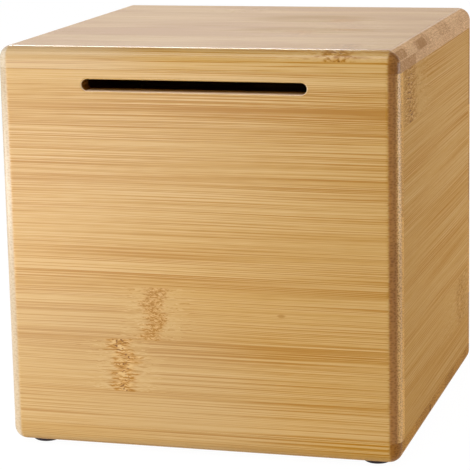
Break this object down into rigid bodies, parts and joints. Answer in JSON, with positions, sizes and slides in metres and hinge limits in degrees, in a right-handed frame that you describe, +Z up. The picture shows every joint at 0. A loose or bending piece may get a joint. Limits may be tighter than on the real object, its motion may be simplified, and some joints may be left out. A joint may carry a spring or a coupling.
{
  "type": "bamboo money box",
  "caption": "Cube-shaped bamboo money box with a long round-ended slot high in its front board, rounded edges, rubber feet and a base hatch that slides out at the back.",
  "frame": {"origin": "on the table, under the middle of the box", "axes": "+Z up, +X to the right when looking at the slot, front with the slot towards -Y, hatch slides out towards +Y"},
  "size_m": [0.15, 0.15, 0.1518],
  "materials": {
    "bamboo": "clear satin lacquer over flat-pressed carbonised bamboo strips",
    "beech": "bare dowel rod",
    "rubber": "matt moulded rubber"
  },
  "bodies": {
    "box": {"top_panel": "bamboo", "front_panel": "bamboo", "back_panel": "bamboo", "left_side_panel": "bamboo", "right_side_panel": "bamboo", "base_panel": "bamboo", "foot_front_left": "rubber", "foot_front_right": "rubber", "foot_back_left": "rubber", "foot_back_right": "rubber", "dowel_front_lower_left": "beech", "dowel_front_lower_right": "beech", "dowel_front_upper_left": "beech", "dowel_front_upper_right": "beech", "dowel_back_lower_left": "beech", "dowel_back_lower_right": "beech", "dowel_back_upper_left": "beech", "dowel_back_upper_right": "beech", "dowel_left_lower_front": "beech", "dowel_left_lower_back": "beech", "dowel_left_upper_front": "beech", "dowel_left_upper_back": "beech", "dowel_right_lower_front": "beech", "dowel_right_lower_back": "beech", "dowel_right_upper_front": "beech", "dowel_right_upper_back": "beech", "dowel_corner_left_front_lower": "beech", "dowel_corner_left_front_upper": "beech", "dowel_corner_left_back_lower": "beech", "dowel_corner_left_back_upper": "beech", "dowel_corner_right_front_lower": "beech", "dowel_corner_right_front_upper": "beech", "dowel_corner_right_back_lower": "beech", "dowel_corner_right_back_upper": "beech"},
    "hatch": {"base_hatch": "bamboo"}
  },
  "joints": [
    {"name": "hatch_slide", "type": "slide", "parent": "box", "child": "hatch", "axis": [0, 1, 0], "range_m": [0, 0.12]}
  ]
}
